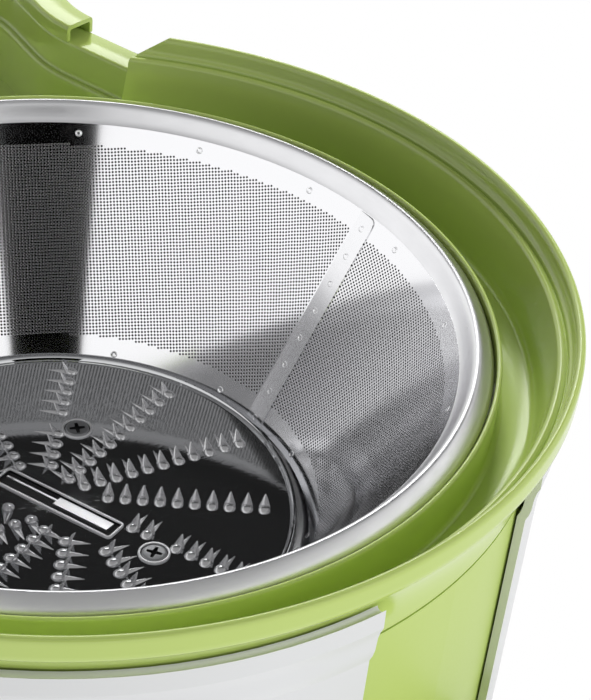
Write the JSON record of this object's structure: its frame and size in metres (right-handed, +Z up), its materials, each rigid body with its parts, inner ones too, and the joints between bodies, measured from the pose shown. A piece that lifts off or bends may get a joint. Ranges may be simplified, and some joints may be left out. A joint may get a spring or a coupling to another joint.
{
  "type": "centrifugal juicer",
  "caption": "Centrifugal juicer with its lid off: strainer basket with a toothed grater disc in a green bowl, grey side shells, pulp chute and bin, juice spout and motor.",
  "frame": {"origin": "on the motor axis, at the flat under-face of the rubber foot ring", "axes": "+Z up along the motor axis, +X along the juice spout, -X along the pulp chute, -Y towards the speed knob"},
  "size_m": [0.321, 0.2077, 0.2194],
  "materials": {
    "grey_shell": "satin grey injection-moulded plastic",
    "lime_plastic": "glossy lime green plastic",
    "perforated_steel": "fine perforated stainless sheet",
    "bright_steel": "rolled stainless sheet",
    "mirror_steel": "polished stainless sheet",
    "fastener_steel": "plain steel",
    "white_plastic": "moulded glass-filled plastic",
    "dark_plastic": "textured dark plastic",
    "black_rubber": "matt rubber",
    "motor_iron": "stacked electrical steel",
    "motor_bracket": "die-cast",
    "copper": "enamelled copper wire and copper bars",
    "carbon": "pressed carbon",
    "smoke_plastic": "smooth dark plastic"
  },
  "bodies": {
    "base": {"front_shell": "grey_shell", "rear_shell": "grey_shell", "motor_housing": "lime_plastic", "base_plate": "dark_plastic", "rubber_foot": "black_rubber", "base_screws": "fastener_steel", "upper_bracket": "motor_bracket", "lower_bracket": "motor_bracket", "stator_core": "motor_iron", "field_coils": "copper", "upper_bearing": "fastener_steel", "lower_bearing": "fastener_steel", "brush_holders": "dark_plastic", "carbon_brushes": "carbon", "brush_springs": "fastener_steel", "motor_dampers": "black_rubber", "motor_bolts": "fastener_steel", "shaft_seal": "black_rubber", "speed_switch": "dark_plastic", "cord_grommet": "black_rubber", "clamp_pins": "fastener_steel"},
    "rotor": {"motor_shaft": "fastener_steel", "armature_core": "motor_iron", "armature_windings": "copper", "commutator": "copper", "cooling_fan": "white_plastic", "drive_dog": "white_plastic"},
    "bowl": {"collector_ring": "lime_plastic", "juice_vessel": "lime_plastic", "vessel_gasket": "black_rubber"},
    "basket": {"strainer_rim": "bright_steel", "strainer_mesh": "perforated_steel", "basket_floor_ring": "bright_steel", "grater_disc": "mirror_steel", "core_knife": "bright_steel", "grater_screws": "fastener_steel", "basket_hub": "white_plastic"},
    "knob": {"speed_knob": "dark_plastic", "switch_spindle": "fastener_steel"},
    "clamp_front": {"front_clamp": "grey_shell"},
    "clamp_rear": {"rear_clamp": "grey_shell"},
    "bin": {"pulp_bin": "smoke_plastic"}
  },
  "joints": [
    {"name": "motor_spin", "type": "hinge", "parent": "base", "child": "rotor", "pos_m": [0, 0, 0.1], "axis": [0, 0, 1], "continuous": true},
    {"name": "bowl_lift", "type": "slide", "parent": "base", "child": "bowl", "axis": [0, 0, 1], "range_m": [0, 0.075]},
    {"name": "basket_spin", "type": "hinge", "parent": "bowl", "child": "basket", "pos_m": [0, 0, 0.16], "axis": [0, 0, 1], "continuous": true},
    {"name": "knob_turn", "type": "hinge", "parent": "base", "child": "knob", "pos_m": [0, -0.088, 0.044], "axis": [0, 1, 0], "range_deg": [-90, 90]},
    {"name": "front_clamp_swing", "type": "hinge", "parent": "base", "child": "clamp_front", "pos_m": [0, -0.0985, 0.168], "axis": [-1, 0, 0], "range_deg": [0, 178]},
    {"name": "rear_clamp_swing", "type": "hinge", "parent": "base", "child": "clamp_rear", "pos_m": [0, 0.0985, 0.168], "axis": [1, 0, 0], "range_deg": [0, 178]},
    {"name": "bin_pull", "type": "slide", "parent": "base", "child": "bin", "axis": [-1, 0, 0], "range_m": [0, 0.12]}
  ],
  "couplings": [
    {"joint": "basket_spin", "follows": "motor_spin", "ratio": 1}
  ]
}
